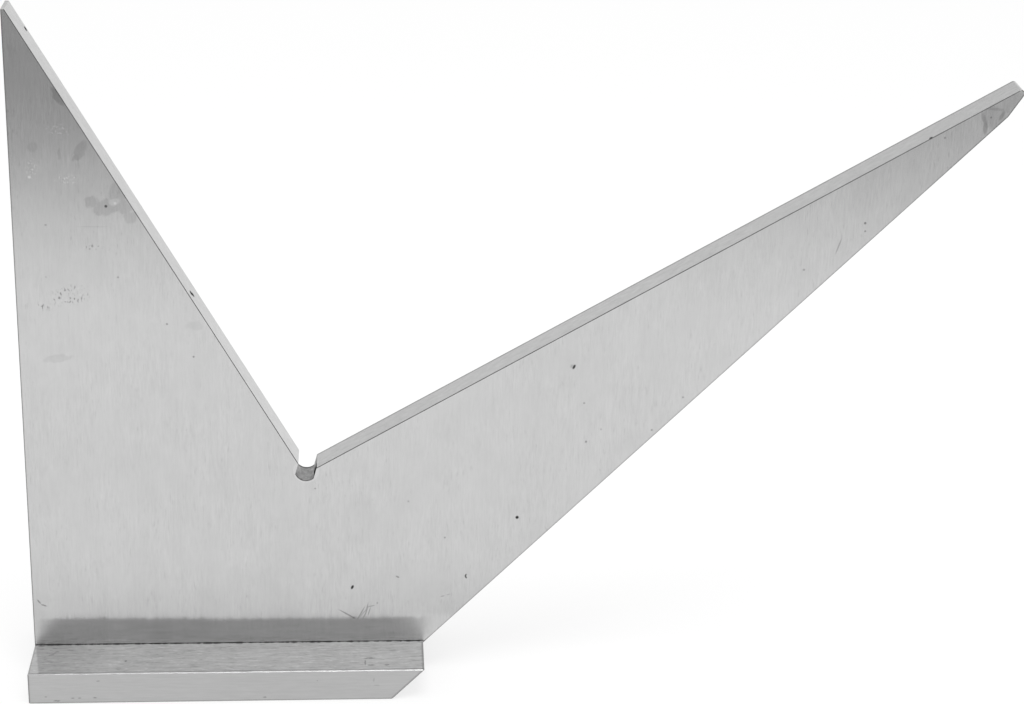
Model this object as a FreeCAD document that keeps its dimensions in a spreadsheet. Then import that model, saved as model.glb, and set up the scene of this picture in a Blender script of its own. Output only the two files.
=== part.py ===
import FreeCAD, Part
import math
import os

import Sketcher

# Multi-angle square: a ground plate whose edges stand at 90, 60, 45 and 30 degrees to a flat
# stock, held to it from below by screws and dowels.
# X runs along the stock from the 90 degree edge to the toe, Y through the blade's thickness
# from its middle plane, and Z up from the underside of the stock.

# Driving sizes, in millimetres and degrees
sizes = {
    # Blade, with the notch's root measured from the 90 degree edge and from the blade's foot
    "blade_thickness": 6,
    "left_arm_angle": 60,
    "right_arm_angle": 30,
    "toe_angle": 45,
    "notch_across": 46.8,
    "notch_up": 33.5,
    "tall_tip_flat": 0.6,
    "long_tip_setback": 11.9,
    "long_tip_angle": 57,
    "long_tip_radius": 0.6,
    "toe_overhang": 0.3,
    "blade_edge_break": 0.1,
    # Relief slot at the notch's root, its depth measured below the root
    "relief_width": 3.2,
    "relief_depth": 1.3,
    "relief_end_radius": 1.9,
    # Stock, with its length measured along the upper face
    "stock_length": 67.1,
    "stock_width": 27.5,
    "stock_height": 5.6,
    "stock_edge_break": 0.15,
    "groove_depth": 1.6,
    "groove_clearance": 0.02,
    # Screws and dowels, in one row along the middle of the stock
    "fastener_start": 9,
    "fastener_pitch": 11,
    "hole_run_out": 1,
    # Countersunk screws
    "screw_diameter": 3,
    "screw_length": 10,
    "screw_tip_break": 0.4,
    "screw_clearance": 0.2,
    "thread_clearance": 0.02,
    "head_diameter": 5.5,
    "head_rim": 0.25,
    "head_sink": 0.15,
    "head_angle": 90,
    "head_clearance": 0.02,
    "socket_across_flats": 2,
    "socket_depth": 1.1,
    # Dowels
    "dowel_diameter": 3,
    "dowel_length": 10,
    "dowel_sink": 0.3,
    "dowel_tip_break": 0.3,
    "dowel_clearance": 0.01,
}

# Places in the row of fasteners, counted in pitches from the first one
screw_places = {"heel_screw": 0, "middle_screw": 2, "toe_screw": 4}
dowel_places = {"heel_dowel": 1, "toe_dowel": 3}

# Sizes that follow from the driving ones
web = "(Sizes.stock_height - Sizes.groove_depth)"
foot_length = "Sizes.stock_length - Sizes.groove_depth / tan(Sizes.toe_angle) + Sizes.toe_overhang"
groove_width = "Sizes.blade_thickness + 2 * Sizes.groove_clearance"
head_taper = "(Sizes.head_diameter - Sizes.screw_diameter) / 2 / tan(Sizes.head_angle / 2)"
countersink = (
    "Sizes.head_diameter + 2 * Sizes.head_clearance"
    " + 2 * (Sizes.head_sink + Sizes.head_rim) * tan(Sizes.head_angle / 2)"
)

notch_middle = "(180 - Sizes.left_arm_angle + Sizes.right_arm_angle) / 2"

near = 1e-4  # how close an edge lies to the place where it is looked for

doc = FreeCAD.newDocument("MultiAngleSquare")
sheet = doc.addObject("Spreadsheet::Sheet", "Sizes")
for row, (alias, value) in enumerate(sizes.items(), start=1):
    sheet.set(f"A{row}", alias)
    sheet.set(f"B{row}", str(value))
    sheet.setAlias(f"B{row}", alias)
doc.recompute()


def measure(expression):
    """Value of an expression on the sheet."""
    return float(sheet.evalExpression(expression))


def bind(item, **expressions):
    for target, expression in expressions.items():
        item.setExpression(target, expression)


def new_body(name):
    body = doc.addObject("PartDesign::Body", name)
    body.Label = name
    return body


# Sketches


def new_sketch(body, role, name):
    """Sketch on one of the body's own origin planes."""
    plane = next(item for item in body.Origin.OriginFeatures if item.Role == role)
    sketch = body.newObject("Sketcher::SketchObject", name)
    sketch.AttachmentSupport = [(plane, "")]
    sketch.MapMode = "FlatFace"
    return sketch


def dimension(sketch, name, expression, kind, *places):
    """Named dimension of a sketch, bound to the sheet."""
    value = measure(expression)
    if kind == "Angle":
        value = math.radians(value)
    index = sketch.addConstraint(Sketcher.Constraint(kind, *places, value))
    sketch.renameConstraint(index, name)
    sketch.setExpression(f"Constraints.{name}", expression)


def constrain(sketch, kind, *lines):
    for line in lines:
        sketch.addConstraint(Sketcher.Constraint(kind, line))


def closed_outline(sketch, corners):
    """Straight lines from corner to corner and back, starting at the sketch's origin."""
    following = corners[1:] + corners[:1]
    for start, end in zip(corners, following):
        sketch.addGeometry(Part.LineSegment(FreeCAD.Vector(*start), FreeCAD.Vector(*end)))
    last = len(corners) - 1
    for line in range(last):
        sketch.addConstraint(Sketcher.Constraint("Coincident", line, 2, line + 1, 1))
    sketch.addConstraint(Sketcher.Constraint("Coincident", last, 2, 0, 1))
    sketch.addConstraint(Sketcher.Constraint("Coincident", 0, 1, -1, 1))


def circle_row(sketch, places, diameter):
    """One circle for each place in the row of fasteners."""
    for circle, place in enumerate(places):
        along = fastener_place(place)
        centre = FreeCAD.Vector(measure(along), 0)
        sketch.addGeometry(Part.Circle(centre, FreeCAD.Vector(0, 0, 1), measure(diameter) / 2))
        sketch.addConstraint(Sketcher.Constraint("PointOnObject", circle, 3, -1))
        dimension(sketch, f"place{circle}", along, "DistanceX", -1, 1, circle, 3)
        dimension(sketch, f"diameter{circle}", diameter, "Diameter", circle)


def fastener_place(place):
    """Distance of a fastener from the 90 degree edge."""
    return f"Sizes.fastener_start + {place} * Sizes.fastener_pitch"


def crossing(start, angle, other_start, other_angle):
    """Point where two lines cross, each given by a point and an angle in degrees."""
    run, rise = math.cos(math.radians(angle)), math.sin(math.radians(angle))
    other_run, other_rise = math.cos(math.radians(other_angle)), math.sin(math.radians(other_angle))
    across, up = other_start[0] - start[0], other_start[1] - start[1]
    travel = (across * other_rise - up * other_run) / (run * other_rise - rise * other_run)
    return start[0] + travel * run, start[1] + travel * rise


# Features


def symmetric_pad(body, sketch, width):
    """Pad through the middle plane, with the width on the sheet."""
    pad = body.newObject("PartDesign::Pad", f"{sketch.Label}Pad")
    pad.Profile = sketch
    pad.SideType = "Symmetric"
    bind(pad, Length=width)
    doc.recompute()
    return pad


def through_pocket(body, sketch):
    """Cut through the whole body on both sides of the sketch."""
    pocket = body.newObject("PartDesign::Pocket", f"{sketch.Label}Pocket")
    pocket.Profile = sketch
    pocket.SideType = "Symmetric"
    pocket.Type = "ThroughAll"
    return cutting(pocket)


def drilled(body, sketch, diameter, depth=None, mouth=None):
    """Holes upwards from the underside: blind where a depth is given, countersunk with a mouth."""
    hole = body.newObject("PartDesign::Hole", f"{sketch.Label}Hole")
    hole.Profile = sketch
    doc.recompute()
    hole.Reversed = True
    hole.DrillPoint = "Flat"
    bind(hole, Diameter=diameter)
    if depth:
        hole.DepthType = "Dimension"
        bind(hole, Depth=depth)
    else:
        hole.DepthType = "ThroughAll"
    if mouth:
        hole.HoleCutType = "Countersink"
        bind(hole, HoleCutDiameter=mouth, HoleCutCountersinkAngle="Sizes.head_angle")
    return cutting(hole)


def cutting(feature):
    """The feature, once it is sure to take material away."""
    doc.recompute()
    if feature.Shape.isNull() or feature.Shape.Volume >= feature.BaseFeature.Shape.Volume:
        raise RuntimeError(f"{feature.Label} cuts nothing")
    return feature


def edges_where(feature, test):
    """Names of the edges whose ends and middle all pass the test."""
    names = []
    for number, edge in enumerate(feature.Shape.Edges, start=1):
        middle = edge.valueAt((edge.FirstParameter + edge.LastParameter) / 2)
        points = [vertex.Point for vertex in edge.Vertexes] + [middle]
        if all(test(point) for point in points):
            names.append(f"Edge{number}")
    return names


def break_edges(body, kind, feature, names, **expressions):
    """Chamfer or Fillet on the named edges of a feature."""
    dressing = body.newObject(f"PartDesign::{kind}", f"{feature.Label}{kind}")
    dressing.Base = (feature, names)
    bind(dressing, **expressions)
    return cutting(dressing)


# Blade: one ground plate, its notch open between the two arms


def make_blade():
    body = new_body("blade")
    outline = new_sketch(body, "XZ_Plane", "BladeOutline")
    foot, toe_edge, long_flat, right_arm, left_arm, tall_flat, square_edge, sharp_tip = range(8)

    toe = (measure(foot_length), 0)
    root = (sizes["notch_across"], sizes["notch_up"])
    toe_angle, right_angle = sizes["toe_angle"], sizes["right_arm_angle"]
    left_angle = 180 - sizes["left_arm_angle"]
    tip = crossing(toe, toe_angle, root, right_angle)
    setback = sizes["long_tip_setback"]
    flat_start = (
        tip[0] - setback * math.cos(math.radians(toe_angle)),
        tip[1] - setback * math.sin(math.radians(toe_angle)),
    )
    flat_end = crossing(flat_start, sizes["long_tip_angle"], root, right_angle)
    tall_end = crossing(root, left_angle, (sizes["tall_tip_flat"], 0), 90)
    closed_outline(outline, [(0, 0), toe, flat_start, flat_end, root, tall_end, (0, tall_end[1])])

    constrain(outline, "Horizontal", foot, tall_flat)
    constrain(outline, "Vertical", square_edge)
    dimension(outline, "foot", foot_length, "DistanceX", foot, 1, foot, 2)
    dimension(outline, "toeSlope", "Sizes.toe_angle", "Angle", toe_edge)
    dimension(outline, "flatSlope", "Sizes.long_tip_angle", "Angle", long_flat)
    dimension(outline, "rightSlope", "Sizes.right_arm_angle - 180", "Angle", right_arm)
    dimension(outline, "leftSlope", "180 - Sizes.left_arm_angle", "Angle", left_arm)
    dimension(outline, "rootAcross", "Sizes.notch_across", "DistanceX", -1, 1, right_arm, 2)
    dimension(outline, "rootUp", "Sizes.notch_up", "DistanceY", -1, 1, right_arm, 2)
    dimension(outline, "tallFlat", "Sizes.tall_tip_flat", "DistanceX", tall_flat, 2, tall_flat, 1)
    # The long arm's flat is set back from where its two edges would meet in a sharp tip
    outline.addGeometry(Part.Point(FreeCAD.Vector(*tip)), True)
    outline.addConstraint(Sketcher.Constraint("PointOnObject", sharp_tip, 1, toe_edge))
    outline.addConstraint(Sketcher.Constraint("PointOnObject", sharp_tip, 1, right_arm))
    dimension(outline, "setback", "Sizes.long_tip_setback", "Distance", toe_edge, 2, sharp_tip, 1)
    plate = symmetric_pad(body, outline, "Sizes.blade_thickness")

    tip_corner = edges_where(
        plate, lambda point: math.hypot(point.x - flat_end[0], point.z - flat_end[1]) < near
    )
    rounded = break_edges(body, "Fillet", plate, tip_corner, Radius="Sizes.long_tip_radius")
    half = sizes["blade_thickness"] / 2
    rim = edges_where(rounded, lambda point: abs(abs(point.y) - half) < near)
    break_edges(body, "Chamfer", rounded, rim, Size="Sizes.blade_edge_break")
    through_pocket(body, relief_outline(body, root))

    tip_depth = f"Sizes.head_sink + Sizes.screw_length - {web} + Sizes.hole_run_out"
    taps = new_sketch(body, "XY_Plane", "TappedHoles")
    circle_row(taps, screw_places.values(), "Sizes.screw_diameter + 2 * Sizes.thread_clearance")
    drilled(body, taps, "Sizes.screw_diameter + 2 * Sizes.thread_clearance", depth=tip_depth)
    reams = new_sketch(body, "XY_Plane", "DowelHoles")
    dowel_hole = "Sizes.dowel_diameter + 2 * Sizes.dowel_clearance"
    ream_depth = f"Sizes.dowel_sink + Sizes.dowel_length - {web} + Sizes.hole_run_out"
    circle_row(reams, dowel_places.values(), dowel_hole)
    drilled(body, reams, dowel_hole, depth=ream_depth)
    body.setExpression("Placement.Base.z", web)
    return body


def relief_outline(body, root):
    """Slot along the middle of the notch, open at the top, with a shallow round end below."""
    relief = new_sketch(body, "XZ_Plane", "NotchRelief")
    left, roof, right, end, middle = range(5)
    radius, half = sizes["relief_end_radius"], sizes["relief_width"] / 2
    lift = "Sizes.relief_end_radius - Sizes.relief_depth"
    angle = measure(notch_middle)
    up = FreeCAD.Vector(math.cos(math.radians(angle)), math.sin(math.radians(angle)), 0)
    out = FreeCAD.Vector(up.y, -up.x, 0)
    start = FreeCAD.Vector(*root)
    centre = start + up * measure(lift)
    low = centre - up * math.sqrt(radius ** 2 - half ** 2)
    high = low + up * sizes["relief_width"]
    relief.addGeometry(Part.LineSegment(low - out * half, high - out * half))
    relief.addGeometry(Part.LineSegment(high - out * half, high + out * half))
    relief.addGeometry(Part.LineSegment(high + out * half, low + out * half))
    circle = Part.Circle(centre, FreeCAD.Vector(0, 0, 1), radius)
    spread = math.asin(half / radius)
    lowest = math.radians(angle + 180)
    relief.addGeometry(Part.ArcOfCircle(circle, lowest - spread, lowest + spread))
    relief.addGeometry(Part.LineSegment(start, centre), True)
    for first, second in (((left, 2), (roof, 1)), ((roof, 2), (right, 1)), ((right, 2), (end, 2)),
                          ((end, 1), (left, 1)), ((end, 3), (middle, 2))):
        relief.addConstraint(Sketcher.Constraint("Coincident", *first, *second))
    relief.addConstraint(Sketcher.Constraint("Parallel", left, middle))
    relief.addConstraint(Sketcher.Constraint("Parallel", right, middle))
    relief.addConstraint(Sketcher.Constraint("Perpendicular", roof, middle))
    relief.addConstraint(Sketcher.Constraint("Equal", left, right))
    dimension(relief, "across", "Sizes.notch_across", "DistanceX", -1, 1, middle, 1)
    dimension(relief, "up", "Sizes.notch_up", "DistanceY", -1, 1, middle, 1)
    dimension(relief, "slope", notch_middle, "Angle", middle)
    dimension(relief, "lift", lift, "Distance", middle, 1, middle, 2)
    dimension(relief, "radius", "Sizes.relief_end_radius", "Radius", end)
    dimension(relief, "width", "Sizes.relief_width", "Distance", end, 1, end, 2)
    dimension(relief, "side", "Sizes.relief_width", "Distance", left, 1, left, 2)
    return relief


# Stock: a flat bar with a groove for the blade's foot and its toe end undercut


def make_stock():
    body = new_body("stock")
    side = new_sketch(body, "XZ_Plane", "StockSide")
    base, undercut, top, heel = range(4)
    length, height = sizes["stock_length"], sizes["stock_height"]
    base_end = crossing((0, 0), 0, (length, height), sizes["toe_angle"])
    closed_outline(side, [(0, 0), base_end, (length, height), (0, height)])
    constrain(side, "Horizontal", base, top)
    constrain(side, "Vertical", heel)
    dimension(side, "top", "Sizes.stock_length", "DistanceX", top, 2, top, 1)
    dimension(side, "height", "Sizes.stock_height", "DistanceY", heel, 2, heel, 1)
    dimension(side, "undercut", "Sizes.toe_angle", "Angle", undercut)
    bar = symmetric_pad(body, side, "Sizes.stock_width")
    rim = edges_where(bar, lambda point: True)
    eased = break_edges(body, "Chamfer", bar, rim, Size="Sizes.stock_edge_break")

    groove = new_sketch(body, "YZ_Plane", "Groove")
    left, floor, right, roof = range(4)
    half, floor_up = measure(groove_width) / 2, measure(web)
    corners = [(-half, height), (-half, floor_up), (half, floor_up), (half, height)]
    for start, end in zip(corners, corners[1:] + corners[:1]):
        groove.addGeometry(Part.LineSegment(FreeCAD.Vector(*start), FreeCAD.Vector(*end)))
    for line in range(3):
        groove.addConstraint(Sketcher.Constraint("Coincident", line, 2, line + 1, 1))
    groove.addConstraint(Sketcher.Constraint("Coincident", roof, 2, left, 1))
    constrain(groove, "Vertical", left, right)
    constrain(groove, "Horizontal", roof)
    groove.addConstraint(Sketcher.Constraint("Symmetric", floor, 1, floor, 2, -2))
    dimension(groove, "width", groove_width, "DistanceX", floor, 1, floor, 2)
    dimension(groove, "floor", web, "DistanceY", -1, 1, floor, 1)
    dimension(groove, "depth", "Sizes.groove_depth", "DistanceY", left, 2, left, 1)
    through_pocket(body, groove)

    screw_hole = "Sizes.screw_diameter + 2 * Sizes.screw_clearance"
    screws = new_sketch(body, "XY_Plane", "ScrewHoles")
    circle_row(screws, screw_places.values(), screw_hole)
    drilled(body, screws, screw_hole, mouth=countersink)
    dowel_hole = "Sizes.dowel_diameter + 2 * Sizes.dowel_clearance"
    dowels = new_sketch(body, "XY_Plane", "StockDowelHoles")
    circle_row(dowels, dowel_places.values(), dowel_hole)
    drilled(body, dowels, dowel_hole)
    return body


# Countersunk screw, standing on its head


def make_screw(name, place):
    body = new_body(name)
    profile = new_sketch(body, "XZ_Plane", f"{name}Profile")
    face, rim, taper, shank, tip, end, axis = range(7)
    head, stem = sizes["head_diameter"] / 2, sizes["screw_diameter"] / 2
    length, corner = sizes["screw_length"], sizes["screw_tip_break"]
    under_head = sizes["head_rim"] + measure(head_taper)
    closed_outline(profile, [
        (0, 0), (head, 0), (head, sizes["head_rim"]), (stem, under_head),
        (stem, length - corner), (stem - corner, length), (0, length),
    ])
    constrain(profile, "Horizontal", face, end)
    constrain(profile, "Vertical", rim, shank, axis)
    dimension(profile, "headRadius", "Sizes.head_diameter / 2", "DistanceX", face, 1, face, 2)
    dimension(profile, "headRim", "Sizes.head_rim", "DistanceY", rim, 1, rim, 2)
    dimension(profile, "stemRadius", "Sizes.screw_diameter / 2", "DistanceX", -1, 1, shank, 1)
    dimension(profile, "underHead", f"Sizes.head_rim + {head_taper}", "DistanceY", -1, 1, taper, 2)
    dimension(profile, "length", "Sizes.screw_length", "DistanceY", axis, 2, axis, 1)
    dimension(profile, "tipAcross", "Sizes.screw_tip_break", "DistanceX", tip, 2, tip, 1)
    dimension(profile, "tipUp", "Sizes.screw_tip_break", "DistanceY", tip, 1, tip, 2)
    turned = body.newObject("PartDesign::Revolution", f"{name}Turned")
    turned.Profile = profile
    turned.ReferenceAxis = (profile, ["V_Axis"])
    doc.recompute()

    socket = new_sketch(body, "XY_Plane", f"{name}Socket")
    sides = 6
    reach = sizes["socket_across_flats"] / 2 / math.cos(math.pi / sides)
    turns = [2 * math.pi * side / sides for side in range(sides)]
    corners = [FreeCAD.Vector(reach * math.cos(turn), reach * math.sin(turn)) for turn in turns]
    for start, stop in zip(corners, corners[1:] + corners[:1]):
        socket.addGeometry(Part.LineSegment(start, stop))
    ring = socket.addGeometry(Part.Circle(FreeCAD.Vector(), FreeCAD.Vector(0, 0, 1), reach), True)
    socket.addConstraint(Sketcher.Constraint("Coincident", ring, 3, -1, 1))
    for side in range(sides):
        socket.addConstraint(Sketcher.Constraint("Coincident", side, 2, (side + 1) % sides, 1))
        socket.addConstraint(Sketcher.Constraint("PointOnObject", side, 1, ring))
    for side in range(sides - 1):
        socket.addConstraint(Sketcher.Constraint("Equal", side, side + 1))
    socket.addConstraint(Sketcher.Constraint("PointOnObject", 0, 1, -1))
    across_corners = f"Sizes.socket_across_flats / cos({180 / sides})"
    dimension(socket, "acrossCorners", across_corners, "Diameter", ring)
    pocket = body.newObject("PartDesign::Pocket", f"{name}SocketPocket")
    pocket.Profile = socket
    pocket.Reversed = True
    bind(pocket, Length="Sizes.socket_depth")
    cutting(pocket)
    body.setExpression("Placement.Base.x", fastener_place(place))
    body.setExpression("Placement.Base.z", "Sizes.head_sink")
    return body


# Dowel, its two ends broken alike


def make_dowel(name, place):
    body = new_body(name)
    section = new_sketch(body, "XY_Plane", f"{name}Section")
    circle = Part.Circle(FreeCAD.Vector(), FreeCAD.Vector(0, 0, 1), sizes["dowel_diameter"] / 2)
    section.addGeometry(circle)
    section.addConstraint(Sketcher.Constraint("Coincident", 0, 3, -1, 1))
    dimension(section, "diameter", "Sizes.dowel_diameter", "Diameter", 0)
    pin = body.newObject("PartDesign::Pad", f"{name}Pin")
    pin.Profile = section
    bind(pin, Length="Sizes.dowel_length")
    doc.recompute()
    length = sizes["dowel_length"]
    ends = [
        number
        for height in (0, length)
        for number in edges_where(pin, lambda point: abs(point.z - height) < near)
    ]
    break_edges(body, "Chamfer", pin, ends, Size="Sizes.dowel_tip_break")
    body.setExpression("Placement.Base.x", fastener_place(place))
    body.setExpression("Placement.Base.z", "Sizes.dowel_sink")
    return body


pieces = [make_blade(), make_stock()]
pieces += [make_screw(name, place) for name, place in screw_places.items()]
pieces += [make_dowel(name, place) for name, place in dowel_places.items()]
doc.recompute()

for item in doc.Objects:
    if "Invalid" in item.State or "Error" in item.State:
        raise RuntimeError(f"{item.Label} failed: {item.State}")
for piece in pieces:
    if piece.Shape.isNull() or not piece.Shape.isValid() or len(piece.Shape.Solids) != 1:
        raise RuntimeError(f"{piece.Label} is not one valid solid")

os.makedirs("parts", exist_ok=True)
for piece in pieces:
    piece.Shape.exportStep(f"parts/{piece.Label}.step")
    box = piece.Shape.BoundBox
    print(
        f"{piece.Label}: {piece.Shape.Volume:.2f} mm3, X {box.XMin:.2f} to {box.XMax:.2f},"
        f" Y {box.YMin:.2f} to {box.YMax:.2f}, Z {box.ZMin:.2f} to {box.ZMax:.2f}"
    )
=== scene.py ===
from math import cos, radians, sin

import bmesh
import bpy
from mathutils import Matrix, Vector


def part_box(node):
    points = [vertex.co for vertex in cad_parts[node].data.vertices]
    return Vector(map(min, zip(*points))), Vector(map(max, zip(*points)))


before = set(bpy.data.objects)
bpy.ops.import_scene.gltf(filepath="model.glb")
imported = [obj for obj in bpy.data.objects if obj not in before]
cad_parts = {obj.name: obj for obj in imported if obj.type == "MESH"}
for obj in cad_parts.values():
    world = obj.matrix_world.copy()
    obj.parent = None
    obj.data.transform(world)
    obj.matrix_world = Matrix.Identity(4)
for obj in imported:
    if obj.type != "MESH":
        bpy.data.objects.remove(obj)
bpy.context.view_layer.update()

# Multi-angle square: a notched steel plate on a flat steel stock, standing on a white table.
# Blender works in metres in the CAD's own frame; the dictionaries below hold millimetres.
# X runs along the stock, Y through the blade's thickness, Z up from the stock's underside.

mm = 0.001
print("loaded", len(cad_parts), "nodes")


def metres(point):
    return Vector(point) * mm


# Shader building: a Wire is one output socket, a Graph is one node tree

class Wire:
    def __init__(self, graph, socket):
        self.graph = graph
        self.socket = socket

    def __add__(self, other):
        return self.graph.math("ADD", self, other)

    def __sub__(self, other):
        return self.graph.math("SUBTRACT", self, other)

    def __rsub__(self, other):
        return self.graph.math("SUBTRACT", other, self)

    def __mul__(self, other):
        return self.graph.math("MULTIPLY", self, other)

    def __truediv__(self, other):
        return self.graph.math("DIVIDE", self, other)

    __radd__ = __add__
    __rmul__ = __mul__


class Graph:
    def __init__(self, owner):
        owner.use_nodes = True
        self.owner = owner
        self.tree = owner.node_tree
        self.tree.nodes.clear()

    def add(self, kind, settings, sockets, out=0):
        # settings are the node's own choices, set first; sockets take values or wires
        node = self.tree.nodes.new(kind)
        for name, value in settings.items():
            setattr(node, name, value)
        for name, value in sockets.items():
            if isinstance(value, Wire):
                self.tree.links.new(value.socket, node.inputs[name])
            else:
                node.inputs[name].default_value = value
        if out is None:
            return None
        if isinstance(out, tuple):
            return [Wire(self, node.outputs[name]) for name in out]
        return Wire(self, node.outputs[out])

    def math(self, operation, first, second=0.0):
        return self.add("ShaderNodeMath", {"operation": operation}, {0: first, 1: second})

    def place(self):
        return self.add("ShaderNodeTexCoord", {}, {}, "Object")

    def axes(self, vector):
        return self.add("ShaderNodeSeparateXYZ", {}, {0: vector}, ("X", "Y", "Z"))

    def step(self, value, low, high):
        # smooth rise from 0 at low to 1 at high, which needs no clamp of its own
        return self.add(
            "ShaderNodeMapRange", {"interpolation_type": "SMOOTHSTEP", "clamp": False},
            {"Value": value, "From Min": low, "From Max": high},
        )

    def stepOver(self, value, span):
        # the same rise over a span given in mm
        low, high = span
        return self.step(value, low * mm, high * mm)

    def noise(self, place, size, detail=2.0, roughness=0.5):
        # size is how far one swell of the noise reaches along x, y and z, in mm
        scaled = self.add(
            "ShaderNodeMapping", {"vector_type": "POINT"},
            {"Vector": place, "Scale": [1 / (length * mm) for length in size]},
        )
        return self.add(
            "ShaderNodeTexNoise", {},
            {"Vector": scaled, "Scale": 1.0, "Detail": detail, "Roughness": roughness},
        )

    def pits(self, place, size, reach, share):
        # small round pits strewn one to a cell, kept in that share of the cells; reach is in cells
        scaled = self.add(
            "ShaderNodeMapping", {"vector_type": "POINT"},
            {"Vector": place, "Scale": [1 / (length * mm) for length in size]},
        )
        away, chance = self.add(
            "ShaderNodeTexVoronoi", {"feature": "F1"},
            {"Vector": scaled, "Scale": 1.0}, ("Distance", "Color"),
        )
        luck = self.axes(chance)[0]
        kept = self.math("LESS_THAN", luck, share)
        return kept * (1 - self.step(away, reach * 0.4, reach))

    def spot(self, place, centre, reach, turn=0.0, soft=0.35):
        # 1 inside an ellipsoid turned about Y, 0 outside, over a soft rim
        local = self.add(
            "ShaderNodeMapping", {"vector_type": "TEXTURE"},
            {"Vector": place, "Location": metres(centre), "Rotation": (0.0, radians(turn), 0.0),
             "Scale": metres(reach)},
        )
        away = self.add("ShaderNodeVectorMath", {"operation": "LENGTH"}, {0: local}, "Value")
        return 1 - self.step(away, 1 - soft, 1 + soft)

    def tinted(self, tone, tint):
        # a grey level turned into a colour
        return self.add(
            "ShaderNodeMix", {"data_type": "RGBA"},
            {0: tone, 6: (0.0, 0.0, 0.0, 1.0), 7: (*tint, 1.0)}, 2,
        )

    def bump(self, height, depth):
        return self.add("ShaderNodeBump", {}, {"Height": height, "Distance": depth * mm, "Strength": 1.0})

    def steel(self, tone, tint, roughness, normal, stretch=0.0):
        return self.add(
            "ShaderNodeBsdfPrincipled", {},
            {"Base Color": self.tinted(tone, tint), "Metallic": 1.0, "Roughness": roughness,
             "Normal": normal, "Anisotropic": stretch},
        )

    def mix(self, factor, first, second):
        return self.add("ShaderNodeMixShader", {}, {0: factor, 1: first, 2: second})

    def finish(self, shader):
        self.add("ShaderNodeOutputMaterial", {}, {"Surface": shader}, None)
        return self.owner


def newGraph(name):
    return Graph(bpy.data.materials.new(name))


def dress(nodes, material):
    for name in nodes:
        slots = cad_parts[name].data.materials
        slots.clear()
        slots.append(material)


def startPiece(graph):
    # where a point lies and which way its face looks, each as one wire per axis
    place = graph.place()
    facing = graph.add("ShaderNodeNewGeometry", {}, {}, "True Normal")
    return place, graph.axes(place), graph.axes(facing)


def boxOf(node):
    # lowest and highest corner of a piece, in mm
    low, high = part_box(node)
    return low / mm, high / mm


def leftOf(x, z, line):
    # how far left of a line in the blade's plane a point lies; the line is given as x, z and slope
    lineX, lineZ, slope = line
    turn = radians(slope)
    return (lineX * mm - x) * sin(turn) - (lineZ * mm - z) * cos(turn)


def tearPlace(graph, place, tear):
    # the place shaken by a noise, which gives marks a ragged rim, and how far that moves it on average
    noise, shake = tear
    swell = graph.noise(place, *noise)
    torn = graph.add(
        "ShaderNodeVectorMath", {"operation": "MULTIPLY_ADD"},
        {0: swell, 1: 2 * metres(shake), 2: place}, "Vector",
    )
    return torn, Vector(shake)


def flecks(graph, noise, values):
    # dark flecks where the noise is high less bright ones where it is low
    high, dark, low, bright = values
    return dark * graph.step(noise, *high) - bright * graph.step(noise, *low)


# part of a normal along an axis from which a face counts as square to it
squareOn = (0.9, 0.98)


# Camera, at the photograph's viewing angle

camera = {
    "place": (57.583, -402.003, 213.055),
    "aim": (91.593, 0.0, 58.431),
    "roll": 1.593,                # degrees
    "lens": 89.722,
    "sensor": 36.0,
    "shift": -0.05664,            # the square's middle lies left of the lens axis
}


def makeCamera():
    lens = bpy.data.cameras.new("camera")
    lens.lens = camera["lens"]
    lens.sensor_width = camera["sensor"]
    lens.shift_x = camera["shift"]
    lens.clip_start = 0.01
    eye = bpy.data.objects.new("camera", lens)
    bpy.context.scene.collection.objects.link(eye)
    place = metres(camera["place"])
    look = (metres(camera["aim"]) - place).to_track_quat("-Z", "Y").to_matrix().to_4x4()
    eye.matrix_world = Matrix.Translation(place) @ look @ Matrix.Rotation(radians(camera["roll"]), 4, "Z")
    bpy.context.scene.camera = eye
    bpy.context.scene.view_settings.view_transform = "Standard"


makeCamera()
print("camera set")


# Studio: white table, pale room, one soft box above and a grey card low in front

studio = {
    "tableSize": 8000,
    "tableDrop": 0.02,            # table lies this far under the stock's underside
    "tableShade": 0.95,
    "tableWhite": 0.72,           # share of plain white in the table as camera and steel see it
    "roomLight": 0.90,
    "roomLow": 0.97,              # what steel sees of the room at table height
    "roomHigh": 0.70,             # and well above it
    "roomFade": (0.05, 0.6),      # sine of the height angle between which it darkens
    "boxPlace": (105, -300, 900),
    "boxSize": 450,
    "boxPower": 3.2,              # watts
    "cardPlace": (20, -265, 35),  # leans away from the square, its lower edge on the table
    "cardSize": (640, 150),
    "cardLean": 28,               # degrees up from the table
    "cardWhite": 1.0,
    "cardLeft": 0.41,             # what steel sees of its upper part
    "cardRight": 0.60,
    "cardAcross": (0, 200),       # and between these x it turns from left to right
    "cardFade": (0, 35.3),        # heights between which it darkens
}


def flatPiece(name, size, matrix, material):
    shape = bmesh.new()
    bmesh.ops.create_grid(shape, x_segments=1, y_segments=1, size=0.5)
    bmesh.ops.scale(shape, vec=(size[0] * mm, size[1] * mm, 1.0), verts=shape.verts)
    bmesh.ops.transform(shape, matrix=matrix, verts=shape.verts)
    mesh = bpy.data.meshes.new(name)
    shape.to_mesh(mesh)
    shape.free()
    piece = bpy.data.objects.new(name, mesh)
    bpy.context.scene.collection.objects.link(piece)
    mesh.materials.append(material)
    return piece


def seenDirectly(graph):
    # 1 for what the camera, a mirror or a clear surface sees, 0 for soft light
    seen, mirrored, through = graph.add(
        "ShaderNodeLightPath", {}, {},
        ("Is Camera Ray", "Is Glossy Ray", "Is Transmission Ray"),
    )
    return graph.math("MAXIMUM", seen, graph.math("MAXIMUM", mirrored, through))


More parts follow.
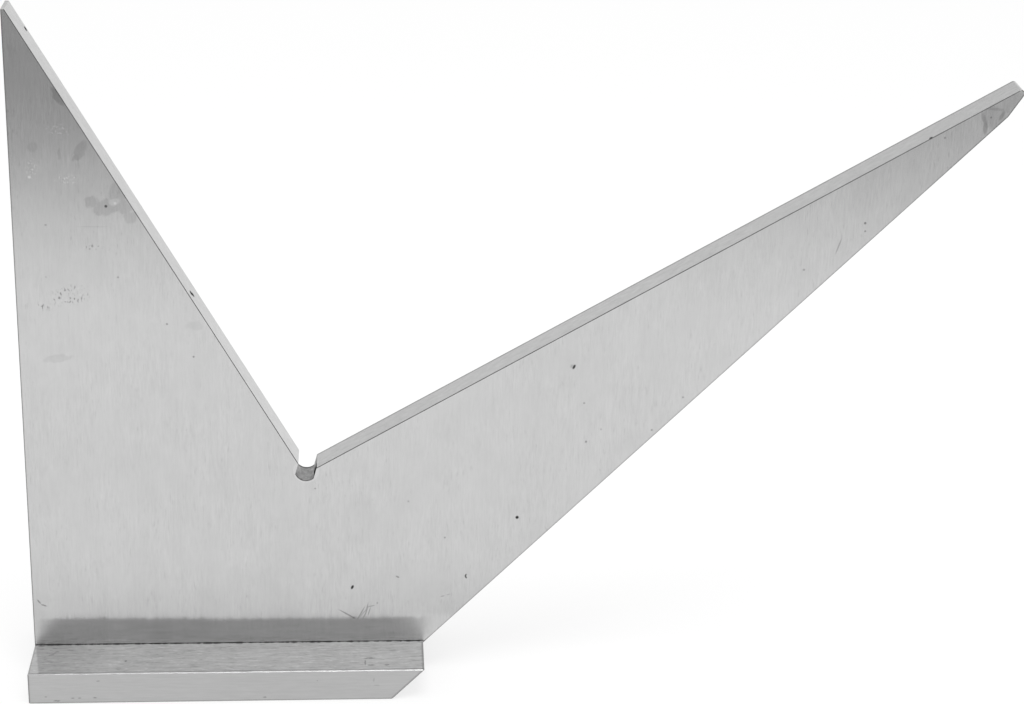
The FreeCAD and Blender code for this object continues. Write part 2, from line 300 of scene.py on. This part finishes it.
def makeTable():
    graph = newGraph("whiteTable")
    shade = studio["tableShade"]
    paper = graph.add("ShaderNodeBsdfDiffuse", {}, {"Color": (shade, shade, shade, 1.0)})
    white = graph.add("ShaderNodeEmission", {}, {"Color": (1.0, 1.0, 1.0, 1.0), "Strength": 1.0})
    surface = graph.mix(seenDirectly(graph) * studio["tableWhite"], paper, white)
    size = (studio["tableSize"], studio["tableSize"])
    down = Matrix.Translation(metres((0, 0, -studio["tableDrop"])))
    flatPiece("table", size, down, graph.finish(surface))


def makeCard():
    graph = newGraph("greyCard")
    x, y, z = graph.axes(graph.place())
    across = graph.stepOver(x, studio["cardAcross"])
    dark = studio["cardLeft"] + (studio["cardRight"] - studio["cardLeft"]) * across
    fade = graph.stepOver(z, studio["cardFade"])
    shade = studio["cardWhite"] * (1 - fade) + dark * fade
    surface = graph.add("ShaderNodeEmission", {}, {"Color": (1.0, 1.0, 1.0, 1.0), "Strength": shade})
    leaning = Matrix.Rotation(radians(180 - studio["cardLean"]), 4, "X")
    spot = Matrix.Translation(metres(studio["cardPlace"])) @ leaning
    card = flatPiece("card", studio["cardSize"], spot, graph.finish(surface))
    card.visible_camera = False
    card.visible_diffuse = False
    card.visible_shadow = False


def makeRoom():
    room = bpy.data.worlds.new("room")
    bpy.context.scene.world = room
    graph = Graph(room)
    height = graph.axes(graph.add("ShaderNodeTexCoord", {}, {}, "Generated"))[2]
    fall = studio["roomLow"] - studio["roomHigh"]
    mirrored = studio["roomLow"] - fall * graph.step(height, *studio["roomFade"])
    seen = graph.add("ShaderNodeLightPath", {}, {}, "Is Camera Ray")
    direct = seenDirectly(graph)
    level = seen + (1 - seen) * (direct * mirrored + (1 - direct) * studio["roomLight"])
    light = graph.add("ShaderNodeBackground", {}, {"Color": (1.0, 1.0, 1.0, 1.0), "Strength": level})
    graph.add("ShaderNodeOutputWorld", {}, {"Surface": light}, None)


def makeSoftBox():
    lamp = bpy.data.lights.new("softBox", "AREA")
    lamp.shape = "SQUARE"
    lamp.size = studio["boxSize"] * mm
    lamp.energy = studio["boxPower"]
    box = bpy.data.objects.new("softBox", lamp)
    bpy.context.scene.collection.objects.link(box)
    box.location = metres(studio["boxPlace"])


makeTable()
makeCard()
makeRoom()
makeSoftBox()
print("studio lit")


# Blade: ground up and down its faces and along its edges

blade = {
    "tint": (1.0, 1.0, 1.0),
    "faceTone": 0.575,            # reflectance
    "edgeTone": 0.535,
    "faceRoughness": 0.205,
    "faceRoughnessSwing": 0.02,
    "faceStretch": 0.97,          # grinding lines spread reflections sideways
    "edgeRoughness": 0.22,
    "bumpDepth": 0.003,
    "bumpStreak": 0.6,            # share of the streaks in that bump
    "shadeBlack": (0.01, 0.01, 0.01, 1.0),          # painted shade: the dark bottom of the nicks and of the slot's shut side

    # Noises: reach along x, y and z, then detail and roughness
    "grain": ((0.22, 0.22, 2.2), 2.0, 0.6),
    "dash": ((0.26, 0.26, 1.3), 1.0),
    "streak": ((0.9, 0.9, 16.0), 3.0, 0.6),
    "cloud": ((4.0, 4.0, 5.0), 3.0, 0.6),
    "mottle": ((16.0, 16.0, 24.0), 2.0),
    "patch": ((6.0, 6.0, 8.0), 1.0),

    # How much each of them changes the tone
    "grainTone": 0.20,
    "dashTone": 0.10,
    "dashFrom": (0.62, 0.80),
    "streakTone": 0.06,
    "cloudTone": 0.11,
    "mottleTone": 0.07,
    "patchFrom": (0.38, 0.60),
    "patchCalm": 0.45,            # share of grain and dashes that stays between the patches
    "tipsOver": (75, 100),        # heights over which both grow towards the tips
    "tipsMore": 0.7,
    "pits": ((5.0, 5.0, 5.0), 0.035, 0.16),   # cell, reach in cells, share of cells with a pit
    "pitTone": 0.35,

    # Broken corners, painted dark for the shade they mirror
    "breakFrom": (0.2, 0.5),      # part of the normal across the blade
    "paintedBreakTone": 0.10,
    "breakCloud": (0.3, 1.4),     # share of that tone that is everywhere, and what clouds add

    # Darker line along the outer corners of both faces
    "outlineReach": (0.08, 0.30),
    "outlineTone": 0.26,
    "outlineSlant": (61.8, 0.0, 45),          # the 45 degree edge: x, z and slope
    "outlineTip": (162.6, 100.8, 57),         # the steeper end of the long arm
    "outlineDoubles": (149, 157),    # the line doubles between these x, towards the long tip

    # Narrow edges
    "edgeCloud": ((1.6, 0.6, 1.6), 3.0, 0.6),
    "edgeCloudTone": 0.42,
    "thirtyFrom": (0.6, 0.8),     # upward part of the normal, which only the 30 degree edge has
    "thirtyRim": (2.25, 2.65),    # y over which it darkens towards its rear corner
    "thirtyRimTone": 0.45,
    "thirtyRoot": (55, 90),       # x up to which it is painted a little darker, as shade beside the notch's root
    "thirtyRootShade": 0.08,

    # Foot, where the face mirrors the ledge and the table in front; this reflection is painted in
    "footOver": (9, 24),
    "footShade": 0.10,
    "bandTop": (9.8, 11.4),       # height where the ledge's mirror image ends
    "bandHeel": (2, 22),          # x over which the image is painted lighter at both ends
    "bandHeelLight": 0.20,
    "bandToe": (61, 66),
    "bandToeLight": 0.13,
    "lean": (0.014, 0.032),       # how far the ground face rolls back at its foot, left and right
    "leanAcross": (5, 40),
    "leanUp": (14, 24),
    "leanStray": 0.036,           # how far that strays from one grinding line to the next
    "leanDash": 0.6,              # share of the dashes in that
    "dirtUp": (0.02, 0.16),       # dirt above the ledge
    "dirtTone": 0.6,

    # Marks
    "markReach": 0.5,             # half how deep into the face a mark reaches
    "stainTear": (((1.32, 1.32, 1.32), 2.0), (0.55, 0.55, 0.55)),
    "stainSoft": 0.20,
    "stainHoleSoft": 0.3,
    "scratchTear": (((0.168, 0.168, 0.168), 2.0), (0.07, 0.07, 0.07)),
    "scratchSoft": 0.35,
    "chatterSoft": 0.45,
    "tick": ((0.34, 0.34, 0.62), 1.0),
    "tickTone": ((0.58, 0.68), 0.50, (0.38, 0.28), 0.08),
    "glint": ((0.30, 0.30, 0.36), 1.0),
    "glintTone": ((0.55, 0.64), 0.34, (0.38, 0.28), 0.16),
    "speckRim": (1.35, 0.65),     # from where to where a speck's rim fades, in reaches
}

# The slot that relieves the notch's root, cut along the middle of the notch
relief = {
    "line": (46.8, 37.5, 75),     # x and z of the notch's root, slope
    "reach": (1.62, 1.65),        # half its width, with a hair to spare
    "tone": 0.36,
    "blotch": ((0.4, 0.8, 0.4), 2.0, 0.6),
    "blotchTone": 1.6,
    "roughness": 0.45,
    "rightFrom": (-0.6, -0.9),    # sideways part of the normal of its right side
    "rightFade": (-1.6, 0.8),     # whose shadow is painted dark in front, less so behind
    "rightShadeLoss": 0.80,
    "rim": (2.40, 2.85),          # painted shade: it darkens towards both faces of the blade
    "rimShade": 0.55,
    "endCentre": (46.96, 0.0, 38.08),
    "halo": (2.12, 2.22),         # painted highlight: the face is lighter out to here round the slot's end
    "haloHighlight": 0.07,
}

# On the front face: x, z, half length, half width in mm, slope in degrees, how much darker
bladeStains = [
    (12.8, 85.8, 1.1, 1.1, 0, 0.17),
    (14.6, 84.4, 1.6, 1.1, 0, 0.16),
    (15.9, 85.2, 2.4, 1.2, 0, 0.16),
    (17.2, 87.2, 1.4, 2.0, 0, 0.14),
    (18.1, 85.0, 1.5, 1.3, 0, 0.15),
    (19.1, 83.3, 1.2, 1.1, 0, 0.12),
    (11.4, 94.4, 1.9, 0.85, 62, 0.15),
    (10.7, 93.2, 0.6, 0.6, 0, 0.20),
    (8.2, 93.9, 0.35, 0.9, 0, 0.12),
    (3.9, 95.0, 0.8, 0.8, 0, 0.08),
    (8.3, 103.5, 1.8, 0.62, -58, 0.22),
    (28.9, 64.3, 1.6, 0.8, 0, 0.06),
    (6.4, 58.7, 2.4, 0.7, 8, 0.08),
    (56.0, 28.8, 3.2, 5.0, 0, 0.035),
    (160.2, 100.8, 1.9, 2.2, 30, 0.13),
    (162.9, 103.2, 2.2, 1.3, 40, 0.08),
]
stainHole = (16.5, 85.9, 1.0, 0.62, 10)

# Scratches and nicks, given in the same way
bladeScratches = [
    (54.7, 16.1, 0.40, 0.20, 65, 0.95),
    (74.28, 18.20, 0.25, 0.13, 58, 0.85),
    (74.30, 17.84, 0.27, 0.13, -56, 0.85),
    (92.1, 56.9, 0.42, 0.20, 66, 0.90),
    (91.8, 57.0, 0.35, 0.35, 0, 0.22),
    (70.3, 14.2, 0.35, 0.13, 16, 0.22),
    (71.3, 14.5, 0.30, 0.13, 20, 0.16),
    (88.3, 26.5, 0.90, 0.12, -62, 0.16),
    (62.5, 18.0, 0.34, 0.15, -30, 0.40),
    (1.1, 13.9, 0.50, 0.14, 125, 0.42),
    (1.9, 13.2, 0.50, 0.14, 160, 0.42),
    (13.0, 81.6, 2.60, 0.10, 0, 0.08),
    (53.8, 10.9, 1.60, 0.13, -32, 0.40),
    (57.2, 11.9, 1.10, 0.13, 78, 0.36),
    (56.2, 11.1, 1.40, 0.11, 62, 0.36),
    (56.8, 11.4, 1.50, 0.10, 52, 0.26),
    (56.9, 10.9, 0.90, 0.10, 66, 0.34),
    (57.6, 11.4, 0.80, 0.10, 74, 0.32),
    (57.9, 12.4, 0.70, 0.10, 15, 0.30),
    (135.8, 78.4, 1.45, 0.12, 72, 0.28),
    (67.7, 5.9, 0.70, 0.16, 40, 0.55),
    (158.5, 100.6, 0.90, 0.34, -70, 0.24),
    (158.9, 99.0, 1.20, 0.36, -88, 0.28),
    (160.4, 102.1, 1.50, 0.24, -3, 0.15),
    (161.5, 101.0, 0.90, 0.30, 62, 0.22),
]

# Patches of fine dark chatter and of bright chatter, given in the same way
bladeChatter = [
    (8.8, 69.7, 3.0, 1.5, 12, 1.0),
    (4.5, 67.8, 1.2, 0.8, 0, 1.0),
    (12.8, 78.1, 1.4, 0.5, 0, 0.7),
]
bladeSparkle = [
    (9.3, 89.7, 2.0, 0.8, 0, 0.8),
    (3.6, 91.4, 0.9, 1.5, 0, 0.8),
    (8.4, 97.8, 2.0, 0.9, 0, 0.7),
]

# Small round specks: x, z, reach in mm, how much darker
bladeSpecks = [
    (83.0, 29.13, 0.27, 0.97),
    (70.6, 25.4, 0.16, 0.40),
    (59.0, 13.0, 0.14, 0.40),
    (48.5, 34.8, 0.15, 0.35),
    (64.3, 32.3, 0.20, 0.20),
    (94.0, 50.3, 0.19, 0.30),
    (94.5, 43.2, 0.19, 0.45),
    (110.8, 51.3, 0.18, 0.35),
    (105.7, 45.3, 0.17, 0.45),
    (97.0, 45.5, 0.15, 0.30),
    (140.0, 82.4, 0.21, 0.55),
    (140.1, 81.0, 0.16, 0.40),
    (130.2, 74.2, 0.21, 0.30),
    (152.3, 97.2, 0.18, 0.35),
    (159.7, 100.7, 0.16, 0.40),
    (24.4, 64.7, 0.18, 0.40),
    (28.6, 58.9, 0.17, 0.45),
    (16.7, 72.9, 0.17, 0.30),
    (5.4, 81.9, 0.18, 0.25),
    (12.3, 77.8, 0.16, 0.25),
    (15.2, 85.1, 0.22, 0.80),
    (5.2, 67.6, 0.24, 0.20),
    (7.1, 69.3, 0.26, 0.20),
    (3.2, 90.0, 0.24, -0.36),
    (16.7, 85.6, 0.24, -0.22),
    (54.9, 10.2, 0.22, 0.35),
]

# Dark nicks on the blade's narrow edges, real marks whose dark bottoms are painted shade: x, y, z, reach in
# mm, how much darker
edgeNicks = [
    (28.35, -1.05, 69.45, 0.45, 0.95),
    (28.60, -0.65, 69.0, 0.42, 0.95),
    (150.0, -2.65, 97.1, 0.30, 0.90),
    (3.12, 2.10, 113.15, 0.42, 0.95),
]


front = boxOf("blade")[0].y       # the face towards the camera
ledge = boxOf("stock")[1].z


def deepest(graph, torn, marks, soft):
    # how dark the deepest mark on the front face is
    place, shake = torn
    depths = 0.0
    for x, z, length, width, slope, depth in marks:
        centre = Vector((x, front, z)) + shake
        mark = depth * graph.spot(place, centre, (length, blade["markReach"], width), -slope, soft)
        depths = graph.math("MAXIMUM", mark, depths)
    return depths


def shadeSpecks(graph, torn, specks, level):
    place, shake = torn
    outer, inner = blade["speckRim"]
    for x, y, z, reach, depth in specks:
        centre = metres(Vector((x, y, z)) + shake)
        away = graph.add("ShaderNodeVectorMath", {"operation": "DISTANCE"}, {0: place, 1: centre}, "Value")
        level = level * (1 - depth * graph.stepOver(away, (outer * reach, inner * reach)))
    return level


def groundLevel(graph, place, z, noise):
    # 1 is the plain tone; grinding lines, clouds and pits stray from it
    patch = graph.step(noise["patch"], *blade["patchFrom"])
    strong = blade["patchCalm"] + (1 - blade["patchCalm"]) * patch
    strong = strong * (1 + blade["tipsMore"] * graph.stepOver(z, blade["tipsOver"]))
    level = 1 + blade["streakTone"] * (noise["streak"] - 0.5)
    level = level + blade["cloudTone"] * (noise["cloud"] - 0.5)
    level = level + blade["mottleTone"] * (noise["mottle"] - 0.5)
    dashes = blade["dashTone"] * graph.step(noise["dash"], *blade["dashFrom"])
    level = level + strong * (blade["grainTone"] * (noise["grain"] - 0.5) - dashes)
    return level * (1 - blade["pitTone"] * graph.pits(place, *blade["pits"]))


def shadeMarks(graph, place, torn, level):
    stained = tearPlace(graph, place, blade["stainTear"])
    x, z, length, width, slope = stainHole
    centre = Vector((x, front, z)) + stained[1]
    hole = graph.spot(
        stained[0], centre, (length, blade["markReach"], width), -slope, blade["stainHoleSoft"],
    )
    level = level * (1 - deepest(graph, stained, bladeStains, blade["stainSoft"]) * (1 - hole))
    level = level * (1 - deepest(graph, torn, bladeScratches, blade["scratchSoft"]))
    tick = graph.noise(place, *blade["tick"])
    chatter = deepest(graph, torn, bladeChatter, blade["chatterSoft"])
    level = level * (1 - chatter * flecks(graph, tick, blade["tickTone"]))
    glint = graph.noise(place, *blade["glint"])
    sparkle = deepest(graph, torn, bladeSparkle, blade["chatterSoft"])
    level = level * (1 + sparkle * flecks(graph, glint, blade["glintTone"]))
    onFace = [(x, front, z, reach, depth) for x, z, reach, depth in bladeSpecks]
    return shadeSpecks(graph, torn, onFace, level)


def shadeFoot(graph, x, z, level):
    # painted shade: darker over the foot, where the face mirrors the shaded table
    level = level * (1 - blade["footShade"] * (1 - graph.stepOver(z, blade["footOver"])))
    inBand = 1 - graph.stepOver(z, blade["bandTop"])
    # painted reflection: the ledge's image is lighter at its heel and toe
    heel = blade["bandHeelLight"] * (1 - graph.stepOver(x, blade["bandHeel"]))
    toe = blade["bandToeLight"] * graph.stepOver(x, blade["bandToe"])
    level = level * (1 + inBand * (heel + toe))
    dirt = 1 - graph.stepOver(z, [ledge + height for height in blade["dirtUp"]])
    return level * (1 - blade["dirtTone"] * dirt)


def shadeOutline(graph, x, z, isFace, cloud, level):
    slant = leftOf(x, z, blade["outlineSlant"])
    tip = leftOf(x, z, blade["outlineTip"])
    inside = graph.math("MINIMUM", x, graph.math("MINIMUM", slant, tip))
    outline = isFace * (1 - graph.stepOver(inside, blade["outlineReach"]))
    doubling = 1 + graph.stepOver(x, blade["outlineDoubles"])
    return level * (1 - blade["outlineTone"] * outline * doubling * (0.5 + cloud))


def shadeEdges(graph, place, x, y, upward, isFace, level):
    cloud = graph.noise(place, *blade["edgeCloud"])
    level = level * (1 + blade["edgeCloudTone"] * (1 - isFace) * (cloud - 0.5))
    onThirty = graph.step(upward, *blade["thirtyFrom"])
    level = level * (1 - blade["thirtyRimTone"] * onThirty * graph.stepOver(y, blade["thirtyRim"]))
    byRoot = 1 - graph.stepOver(x, blade["thirtyRoot"])
    # painted shade beside the notch's root
    return level * (1 - blade["thirtyRootShade"] * onThirty * byRoot)


def shadeHalo(graph, x, z, level):
    flat = graph.add("ShaderNodeCombineXYZ", {}, {"X": x, "Z": z})
    away = graph.add(
        "ShaderNodeVectorMath", {"operation": "DISTANCE"}, {0: flat, 1: metres(relief["endCentre"])}, "Value",
    )
    # painted highlight round the slot's end
    return level * (1 + relief["haloHighlight"] * (1 - graph.stepOver(away, relief["halo"])))


def slotSteel(graph, place, x, y, z, sideways):
    # where the slot is, its tone, and how much painted shade darkens it
    across = graph.math("ABSOLUTE", leftOf(x, z, relief["line"]))
    inSlot = 1 - graph.stepOver(across, relief["reach"])
    blotch = graph.noise(place, *relief["blotch"])
    tone = relief["tone"] * (1 + relief["blotchTone"] * (blotch - 0.5))
    # painted shade on the slot's rims and on its right side
    rim = relief["rimShade"] * graph.stepOver(graph.math("ABSOLUTE", y), relief["rim"])
    right = graph.step(sideways, *relief["rightFrom"])
    right = right * (1 - relief["rightShadeLoss"] * graph.stepOver(y, relief["rightFade"]))
    return inSlot, tone, inSlot * graph.math("MAXIMUM", rim, right)


def bladeNormal(graph, x, z, isFace, noise):
    # fine grinding lines, and a face that rolls back a little at its foot
    left, right = blade["lean"]
    stray = (noise["streak"] - 0.5) + blade["leanDash"] * (noise["dash"] - 0.5)
    lean = left + (right - left) * graph.stepOver(x, blade["leanAcross"]) + blade["leanStray"] * stray
    lean = lean * isFace * (1 - graph.stepOver(z, blade["leanUp"]))
    upward = graph.add("ShaderNodeCombineXYZ", {}, {"Z": lean})
    bumped = graph.bump(noise["grain"] + blade["bumpStreak"] * noise["streak"], blade["bumpDepth"])
    leaning = graph.add("ShaderNodeVectorMath", {"operation": "ADD"}, {0: bumped, 1: upward}, "Vector")
    return graph.add("ShaderNodeVectorMath", {"operation": "NORMALIZE"}, {0: leaning}, "Vector")


def bladeSteel():
    graph = newGraph("groundPlate")
    place, (x, y, z), facing = startPiece(graph)
    through = graph.math("ABSOLUTE", facing[1])
    isFace = graph.step(through, *squareOn)
    isBreak = graph.step(through, *blade["breakFrom"]) * (1 - isFace)
    names = ("grain", "dash", "streak", "cloud", "mottle", "patch")
    noise = {name: graph.noise(place, *blade[name]) for name in names}

    torn = tearPlace(graph, place, blade["scratchTear"])
    level = groundLevel(graph, place, z, noise)
    level = shadeMarks(graph, place, torn, level)
    level = shadeFoot(graph, x, z, level)
    level = shadeOutline(graph, x, z, isFace, noise["cloud"], level)
    level = shadeEdges(graph, place, x, y, facing[2], isFace, level)
    level = shadeHalo(graph, x, z, level)
    clean = shadeSpecks(graph, torn, edgeNicks, 1.0)

    inSlot, slotTone, slotShadow = slotSteel(graph, place, x, y, z, facing[0])
    most, clouded = blade["breakCloud"]
    # painted shade on the broken corners
    paintedBreakTone = blade["paintedBreakTone"] * (most + clouded * noise["cloud"])
    tone = isBreak * paintedBreakTone + (1 - isBreak) * blade["edgeTone"]
    tone = inSlot * slotTone + (1 - inSlot) * tone
    tone = isFace * blade["faceTone"] + (1 - isFace) * tone
    normal = bladeNormal(graph, x, z, isFace, noise)
    faceRoughness = blade["faceRoughness"] + blade["faceRoughnessSwing"] * (noise["mottle"] - 0.5)
    face = graph.steel(tone * level, blade["tint"], faceRoughness, normal, blade["faceStretch"])
    edgeRoughness = inSlot * relief["roughness"] + (1 - inSlot) * blade["edgeRoughness"]
    edge = graph.steel(tone * level, blade["tint"], edgeRoughness, normal)
    # painted shade: the slot's shadowed side and the nicks' bottoms turn dark
    shadeBlack = graph.add("ShaderNodeBsdfDiffuse", {}, {"Color": blade["shadeBlack"]})
    shut = graph.math("MAXIMUM", slotShadow, 1 - clean)
    return graph.finish(graph.mix(isFace, graph.mix(shut, edge, shadeBlack), face))


dress(["blade"], bladeSteel())
print("blade finished")


# Stock: ground along its length, with an open grain on its top

stock = {
    "tint": (1.0, 1.0, 1.0),
    "topLitTone": 0.615,
    "frontShadedTone": 0.47,
    "length": (0, 67),
    "upperHighlightTone": (0.30, 0.34),   # the broken corner along the top, its tone graded left to right as a painted highlight
    "paintedBreakTone": 0.22,            # the other broken corners, painted dark for the shade they mirror
    "breakFrom": (0.3, 0.5),      # part of the normal across the blade
    "upperFrom": (0.1, 0.4),      # upward part of the normal of the corner along the top
    "topRoughness": 0.90,
    "roughness": 0.34,
    "bumpDepth": 0.02,
    "fineDepth": 0.01,

    # Noises, given as for the blade
    "grain": ((3.5, 0.30, 0.22), 2.0, 0.6),
    "dash": ((1.3, 0.40, 0.25), 2.0, 0.6),
    "mottle": ((12.0, 6.0, 6.0), 2.0),
    "wisp": ((14.0, 0.6, 0.5), 2.0),
    "fine": ((5.0, 0.06, 0.06), 1.0),         # spreads reflections across the top
    "crumbs": ((0.9, 0.5, 0.5), 2.0, 0.6),

    # How much each of them changes the tone
    "grainTone": 0.18,
    "mottleTone": 0.08,
    "wispTone": 0.10,
    "topGrainTone": 0.30,
    "topDashTone": ((0.55, 0.72), 0.18, (0.45, 0.28), 0.14),
    "pits": ((3.0, 3.0, 3.0), 0.05, 0.25),
    "pitTone": 0.35,

    # Painted shade and light: the top is darkest at its heel and grows lighter towards its toe
    "heelOver": (3, 15),
    "heelShade": 0.16,
    "toeOver": (18, 50),
    "toeLight": 0.05,
    "heelCorner": (0.35, -0.05),  # x over which a bright corner, a painted reflection, ends at the blade's face
    "heelCornerLean": 0.165,      # and how much further right it ends per mm in front of that
    "heelCornerLight": 0.30,

    # Darker line along the outer corners of top and front
    "outlineReach": (0.12, 0.38),
    "outlineTone": 0.30,
    "toeSlant": (61.39, 0.0, 45),             # the undercut toe: x, z and slope
    "rimOver": (13.0, 13.3),      # distance from the middle plane over which the top darkens
    "rimTone": 0.20,

    # Dirt against the blade
    "dirtReach": (0.12, 0.54),    # least and most that it stands out
    "dirtCrumbs": (0.3, 0.75),
    "dirtEdge": (0.5, 1.0),       # part of that reach over which it fades
    "dirtTone": 0.75,

    # Marks
    "markTear": (((0.4, 0.4, 0.4), 1.0), (0.2, 0.2, 0.1)),
    "markSoft": 0.4,
    "topMarkReach": 0.3,          # half how deep a mark reaches into the top
    "frontMarkReach": 0.4,
}

# On the ledge in front of the blade: x, y, half length, half width in mm, how much darker
ledgeMarks = [
    (4.1, -5.7, 0.40, 0.30, 0.22),
    (9.6, -5.1, 0.35, 0.25, 0.15),
    (3.3, -6.8, 0.45, 0.25, 0.20),
    (16.1, -9.3, 0.22, 0.30, 0.35),
    (1.2, -3.6, 0.50, 0.30, 0.30),
    (57.6, -9.3, 0.90, 0.26, 0.34),
    (56.9, -10.9, 0.14, 0.95, 0.30),
    (57.9, -11.8, 0.60, 0.26, 0.30),
    (60.6, -11.8, 0.40, 0.26, 0.30),
]

# On the stock's front: x, z, half length, half width in mm, how much darker
frontMarks = [
    (4.7, 0.5, 0.50, 0.14, 0.45),
    (39.8, 0.7, 0.30, 0.14, 0.35),
    (7.4, 1.0, 0.30, 0.12, 0.35),
    (8.6, 1.0, 0.25, 0.12, 0.35),
    (11.1, 1.0, 0.30, 0.12, 0.40),
    (2.9, 1.3, 0.20, 0.12, 0.30),
    (11.8, 4.2, 0.25, 0.12, 0.25),
    (58.4, 3.8, 0.16, 0.35, 0.16),
    (58.9, 2.7, 0.45, 0.12, 0.16),
]


stockFront = boxOf("stock")[0].y


def stockLevel(graph, x, isTop, noise):
    level = 1 + stock["grainTone"] * (noise["grain"] - 0.5) + stock["mottleTone"] * (noise["mottle"] - 0.5)
    level = level + stock["wispTone"] * (noise["wisp"] - 0.5)
    # painted shade at the heel, painted light towards the toe
    heel = stock["heelShade"] * (1 - graph.stepOver(x, stock["heelOver"]))
    toe = stock["toeLight"] * graph.stepOver(x, stock["toeOver"])
    level = level * (1 - isTop * (heel - toe))
    rough = stock["topGrainTone"] * (noise["grain"] - 0.5)
    rough = rough - flecks(graph, noise["dash"], stock["topDashTone"])
    return level + isTop * rough


def shadeStockOutline(graph, x, z, isTop, isFront, mottle, level):
    sides = graph.math("MINIMUM", x, leftOf(x, z, stock["toeSlant"]))
    inside = graph.math("MINIMUM", sides, z) * isFront + (1 - isFront) * sides
    outline = (1 - graph.stepOver(inside, stock["outlineReach"])) * graph.math("MAXIMUM", isFront, isTop)
    return level * (1 - stock["outlineTone"] * outline * (0.5 + mottle))


def shadeStockMarks(graph, place, level):
    torn, shake = tearPlace(graph, place, stock["markTear"])
    marks = []
    for x, y, length, width, depth in ledgeMarks:
        marks.append(((x, y, ledge), (length, width, stock["topMarkReach"]), depth))
    for x, z, length, width, depth in frontMarks:
        marks.append(((x, stockFront, z), (length, stock["frontMarkReach"], width), depth))
    for centre, reach, depth in marks:
        mark = graph.spot(torn, Vector(centre) + shake, reach, 0.0, stock["markSoft"])
        level = level * (1 - depth * mark)
    return level


def shadeStockTop(graph, place, x, y, isTop, level):
    beside = graph.math("ABSOLUTE", y)
    out = beside + front * mm     # how far out from the blade's face
    # painted reflection: a light corner at the heel, beside the blade
    corner = graph.stepOver(x - out * stock["heelCornerLean"], stock["heelCorner"])
    level = level * (1 + stock["heelCornerLight"] * isTop * corner)
    level = level * (1 - stock["rimTone"] * isTop * graph.stepOver(beside, stock["rimOver"]))
    least, most = stock["dirtReach"]
    crumbs = graph.noise(place, *stock["crumbs"])
    reach = (most - least) * mm * graph.step(crumbs, *stock["dirtCrumbs"]) + least * mm
    dirt = isTop * (1 - graph.step(out / reach, *stock["dirtEdge"]))
    return level * (1 - stock["dirtTone"] * dirt)


def stockSteel():
    graph = newGraph("groundBar")
    place, (x, y, z), facing = startPiece(graph)
    through = graph.math("ABSOLUTE", facing[1])
    isTop = graph.step(facing[2], *squareOn)
    isFront = graph.step(facing[1], -squareOn[0], -squareOn[1])
    isBreak = graph.step(through, *stock["breakFrom"]) * (1 - graph.step(through, *squareOn))
    isUpper = graph.step(facing[2], *stock["upperFrom"])
    noise = {name: graph.noise(place, *stock[name]) for name in ("grain", "dash", "mottle", "wisp")}

    level = stockLevel(graph, x, isTop, noise)
    level = shadeStockOutline(graph, x, z, isTop, isFront, noise["mottle"], level)
    level = level * (1 - stock["pitTone"] * graph.pits(place, *stock["pits"]))
    level = shadeStockMarks(graph, place, level)
    level = shadeStockTop(graph, place, x, y, isTop, level)

    # painted highlight along the top's broken corner, painted shade on the other broken corners
    left, right = stock["upperHighlightTone"]
    bright = left + (right - left) * graph.stepOver(x, stock["length"])
    paintedBreakTone = bright * isUpper + (1 - isUpper) * stock["paintedBreakTone"]
    # painted light and shade: the top is toned lighter than the front for how each is lit
    plain = isTop * stock["topLitTone"] + (1 - isTop) * stock["frontShadedTone"]
    tone = isBreak * paintedBreakTone + (1 - isBreak) * plain
    roughness = isTop * stock["topRoughness"] + (1 - isTop) * stock["roughness"]
    fine = graph.noise(place, *stock["fine"])
    height = (noise["grain"] + noise["dash"]) * stock["bumpDepth"] + isTop * fine * stock["fineDepth"]
    return graph.finish(graph.steel(tone * level, stock["tint"], roughness, graph.bump(height, 1.0)))


dress(["stock"], stockSteel())
print("stock finished")


# Screws and dowels, seen only from below

fasteners = {
    "tint": (1.0, 0.99, 0.975),
    "screwTone": 0.46,
    "screwRoughness": 0.32,
    "dowelTone": 0.60,
    "dowelRoughness": 0.16,
    "turnWidth": 0.12,            # one turning mark
    "waveScale": 20,              # the wave texture counts its own scale this many times
    "turnStray": 0.6,
    "turnTone": 0.10,
    "wear": ((1.5, 1.5, 1.5), 3.0, 0.6),
    "wearTone": 0.18,
    "wearRoughness": 0.1,
    "wearBump": 0.5,
    "bumpDepth": 0.002,
}


def fastenerSteel(name, node, tone, roughness):
    graph = newGraph(name)
    low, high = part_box(node)
    middle = (low + high) / 2
    centred = graph.add(
        "ShaderNodeMapping", {"vector_type": "TEXTURE"},
        {"Vector": graph.place(), "Location": (middle.x, middle.y, 0.0)},
    )
    scale = 1 / (fasteners["turnWidth"] * mm) / fasteners["waveScale"]
    turned = graph.add(
        "ShaderNodeTexWave", {"wave_type": "RINGS", "rings_direction": "Z"},
        {"Vector": centred, "Scale": scale, "Distortion": fasteners["turnStray"], "Detail": 1.0}, "Fac",
    )
    wear = graph.noise(centred, *fasteners["wear"])
    level = 1 + fasteners["turnTone"] * (turned - 0.5) + fasteners["wearTone"] * (wear - 0.5)
    normal = graph.bump(turned + fasteners["wearBump"] * wear, fasteners["bumpDepth"])
    roughness = roughness + fasteners["wearRoughness"] * (wear - 0.5)
    return graph.finish(graph.steel(tone * level, fasteners["tint"], roughness, normal))


for place in ("heel", "middle", "toe"):
    node = place + "_screw"
    material = fastenerSteel(place + "Screw", node, fasteners["screwTone"], fasteners["screwRoughness"])
    dress([node], material)
for place in ("heel", "toe"):
    node = place + "_dowel"
    material = fastenerSteel(place + "Dowel", node, fasteners["dowelTone"], fasteners["dowelRoughness"])
    dress([node], material)
print("fasteners finished")
